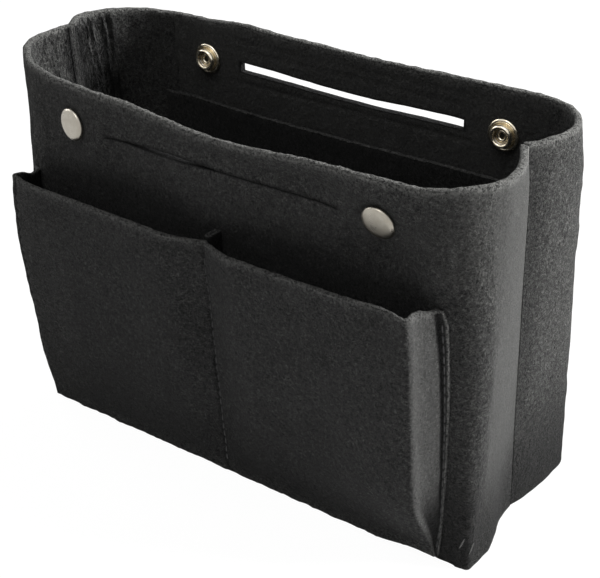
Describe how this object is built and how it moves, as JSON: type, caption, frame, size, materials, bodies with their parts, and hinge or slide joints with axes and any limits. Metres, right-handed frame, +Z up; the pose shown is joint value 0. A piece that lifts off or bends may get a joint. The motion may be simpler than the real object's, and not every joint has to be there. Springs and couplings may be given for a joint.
{
  "type": "purse organizer insert",
  "caption": "Open-topped oblong felt insert with creased ends, a double pocket outside, a flat pocket inside, slotted rims and snaps that pinch its mouth shut.",
  "frame": {"origin": "middle of the object's box in plan, on the surface the base stands on", "axes": "+X along the length to the right as seen from the pocket side, +Y from the front pocket to the rear wall, +Z up"},
  "size_m": [0.235, 0.1042, 0.156],
  "materials": {
    "body_felt": "charcoal needle felt with pale flecks and a fuzzy cut edge",
    "pocket_felt": "thinner charcoal needle felt",
    "cap_metal": "satin nickel",
    "socket_metal": "satin warm nickel",
    "spring_wire": "bright spring wire"
  },
  "bodies": {
    "base": {"base_panel": "body_felt", "end_front_left": "body_felt", "end_front_right": "body_felt", "end_rear_left": "body_felt", "end_rear_right": "body_felt"},
    "front_shell": {"front_wall": "body_felt", "front_pocket_panel": "pocket_felt", "pocket_divider": "pocket_felt", "pocket_gusset_left": "pocket_felt", "pocket_gusset_right": "pocket_felt", "snap_cap_left": "cap_metal", "snap_cap_right": "cap_metal", "snap_stud_left": "cap_metal", "snap_stud_right": "cap_metal"},
    "rear_shell": {"rear_wall": "body_felt", "inner_pocket_panel": "pocket_felt", "snap_socket_left": "socket_metal", "snap_socket_right": "socket_metal", "snap_spring_left": "spring_wire", "snap_spring_right": "spring_wire", "snap_back_cap_left": "socket_metal", "snap_back_cap_right": "socket_metal"}
  },
  "joints": [
    {"name": "front_lean", "type": "hinge", "parent": "base", "child": "front_shell", "pos_m": [0.0035, -0.03295, 0.003], "axis": [-1, 0, 0], "range_deg": [0, 14.5], "stiffness_Nm_per_rad": 0.06, "springref_deg": -2.86, "deforming": ["end_front_left", "end_front_right"]},
    {"name": "rear_lean", "type": "hinge", "parent": "base", "child": "rear_shell", "pos_m": [0.0035, 0.04775, 0.003], "axis": [1, 0, 0], "range_deg": [0, 14.5], "stiffness_Nm_per_rad": 0.06, "springref_deg": -2.86, "deforming": ["end_rear_left", "end_rear_right"]}
  ],
  "couplings": [
    {"joint": "rear_lean", "follows": "front_lean", "ratio": 1}
  ]
}
